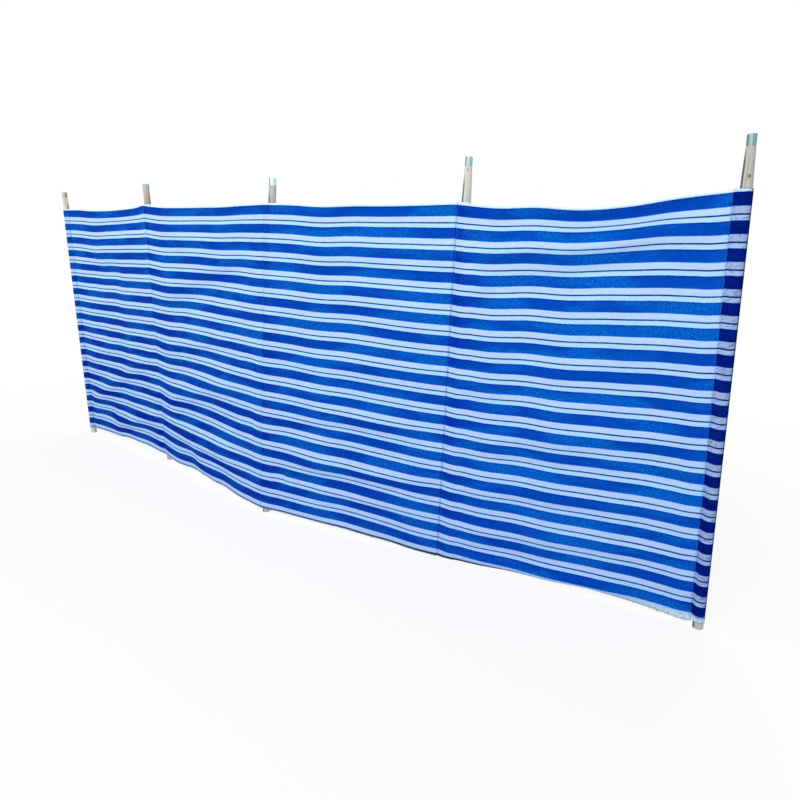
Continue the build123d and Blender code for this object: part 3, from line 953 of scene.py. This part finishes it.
# %% Weathered wood
def weathered_wood(name, tint, shade_angle, shade_top, knot, knot_tone, knot_size):
    """Unvarnished softwood: matt, pale grey, with long dark grain lines and a knot, and a strip of painted
    shade down one side.
    """
    material, tree = new_material(name)
    coordinates = add(tree, "TexCoord").outputs
    place = coordinates["Object"]
    # Fibres are about 3 mm wide and 140 mm long, and the year rings 11 mm and 330 mm.
    squeeze = add(tree, "Mapping", {"Vector": place, "Scale": (330, 330, 7)})
    grain = add(tree, "TexNoise", {"Vector": squeeze, "Scale": 1.0, "Detail": 5.0, "Roughness": 0.6})
    broad = add(tree, "Mapping", {"Vector": place, "Scale": (90, 90, 3)})
    year = add(tree, "TexNoise", {"Vector": broad, "Scale": 1.0, "Detail": 2.0})
    fibres = add(tree, "ValToRGB", [grain])
    for stop, where, grey in zip(fibres.color_ramp.elements, (0.3, 0.58), ("#BEBDB9", "#ECECE9")):
        stop.position = where
        stop.color = colour(grey)

    # Painted shade: a dark strip down one side of the pole, ragged with the grain, from a given height
    # down towards the cloth.
    towards = (coordinates["Normal"], level_way(shade_angle))
    facing = add(tree, "VectorMath", towards, operation="DOT_PRODUCT")
    height = add(tree, "SeparateXYZ", [place]).outputs["Z"]
    lower_part = add(tree, "MapRange", (height, shade_top, shade_top - 0.03))
    ragged = add(tree, "Math", (grain, 0.05, facing), operation="MULTIPLY_ADD")
    side_shade = add(tree, "MapRange", (ragged, 0.93, 0.98, 0.0, 0.9))
    side_shade = add(tree, "Math", (side_shade, lower_part), operation="MULTIPLY")

    # One small knot, darker at its middle, with the grain bent round it.
    offset = add(tree, "VectorMath", (place, knot), operation="SUBTRACT")
    shrink = (1.1 / knot_size, 1.1 / knot_size, 0.8 / knot_size)
    reach = add(tree, "Mapping", {"Vector": offset, "Scale": shrink})
    reach = add(tree, "VectorMath", [reach], operation="LENGTH")
    ring = add(tree, "Math", (grain, 0.004, reach), operation="MULTIPLY_ADD")
    spot = add(tree, "MapRange", (ring, 0.0095, 0.0045, 0.0, 0.85))

    wood = fibres
    # The third layer is painted shade down one side.
    for mask, tone, how in [(year, "#E4E2DE", "MULTIPLY"), (1.0, tint, "MULTIPLY"),
                            (side_shade, "#4E4A4A", "MIX"), (spot, knot_tone, "MIX")]:
        wood = add(tree, "Mix", (mask, wood, colour(tone)), data_type="RGBA", blend_type=how)
    bump = add(tree, "Bump", {"Strength": 0.4, "Distance": 0.0005, "Height": grain})
    dry = {"Base Color": wood, "Roughness": 0.78, "Specular IOR Level": 0.3, "Normal": bump}
    add(tree, "OutputMaterial", [add(tree, "BsdfPrincipled", dry)])
    return material


# Each pole's tint, which way its painted shade faces (degrees from x, seen from above), how far below
# the head the painted shade starts and the knot is, the knot's colour and its size.
WOODS = [
    ("#FFEFE4", 30, 0.045, 0.20, "#8E8378", 1.0), ("#DDD4C9", 34, 0.035, 0.26, "#8E8378", 1.0),
    ("#E4DDD9", 254, 0.040, 0.30, "#8E8378", 1.0), ("#FAF7F5", 235, 0.045, 0.036, "#B47E78", 1.0),
    ("#D9DBD6", 214, 0.030, 0.094, "#241F1C", 0.75),
]
KNOT_SIDE = np.array([0.35, -0.94, 0.0])  # the way that the knots face
for k, (tint, shade_angle, shade_below, knot_below, knot_tone, knot_size) in enumerate(WOODS):
    head = pole_heads[k][2]
    knot = axis_at(k, np.array([head - knot_below]))[0] + KNOT_SIDE * POLE_RADIUS
    wood = weathered_wood(f"weathered softwood {k + 1}", tint, shade_angle, head - shade_below,
                          [float(v) for v in knot], knot_tone, knot_size)
    node = nodes[f"pole_{k + 1}"]
    node.data.materials.clear()
    node.data.materials.append(wood)
print(len(WOODS), "poles of softwood")

# %% [markdown]
# ## Metal caps
# Each pole is driven in with a mallet, so its head wears a pressed steel cap, zinc plated.
# Zinc gives a pale blue-grey sheen, with dull scratches.

# %% Zinc plate
def zinc_plate(name, finish, dark_side_angle):
    """Zinc-plated pressed steel: a bluish metal, bright but not a mirror, with a painted dark reflection
    down two opposite sides.
    """
    material, tree = new_material(name)
    coordinates = add(tree, "TexCoord").outputs
    # Streaks are about 4 mm wide and 25 mm high.
    squeeze = add(tree, "Mapping", {"Vector": coordinates["Object"], "Scale": (260, 260, 40)})
    streak = add(tree, "TexNoise", {"Vector": squeeze, "Scale": 1.0, "Detail": 4.0})
    dull = add(tree, "MapRange", (streak, 0.65, 0.35))

    # Painted reflection: two opposite sides of each cap are darkened, as a round metal cap mirrors darker
    # surroundings at its sides.
    towards = (coordinates["Normal"], level_way(dark_side_angle))
    facing = add(tree, "VectorMath", towards, operation="DOT_PRODUCT")
    facing = add(tree, "Math", [facing], operation="ABSOLUTE")
    dark_side_reach = add(tree, "Math", (streak, 0.2, facing), operation="MULTIPLY_ADD")
    painted_dark_sides = add(tree, "MapRange", (dark_side_reach, 0.78, 0.98, 0.0, 0.9))

    zinc = colour(finish)
    # The second layer is the painted dark reflection.
    for mask, tone, how in [(dull, "#DDE0E2", "MULTIPLY"), (painted_dark_sides, "#6A7C7E", "MIX")]:
        zinc = add(tree, "Mix", (mask, zinc, colour(tone)), data_type="RGBA", blend_type=how)
    rough = add(tree, "MapRange", (streak, 0.0, 1.0, 0.45, 0.6))
    metal = {"Base Color": zinc, "Metallic": 1.0, "Roughness": rough}
    add(tree, "OutputMaterial", [add(tree, "BsdfPrincipled", metal)])
    return material


# Each cap's colour and the way its painted dark sides face, degrees from x, seen from above.
CAP_FINISHES = [
    ("#A8BABC", 214), ("#B9C6BD", 230), ("#DAF4F5", 238), ("#B4D0D4", 222), ("#95AFBA", 206),
]
for k, (finish, dark_side_angle) in enumerate(CAP_FINISHES):
    node = nodes[f"cap_{k + 1}"]
    node.data.materials.clear()
    node.data.materials.append(zinc_plate(f"zinc-plated steel {k + 1}", finish, dark_side_angle))
print(len(CAP_FINISHES), "zinc-plated caps")
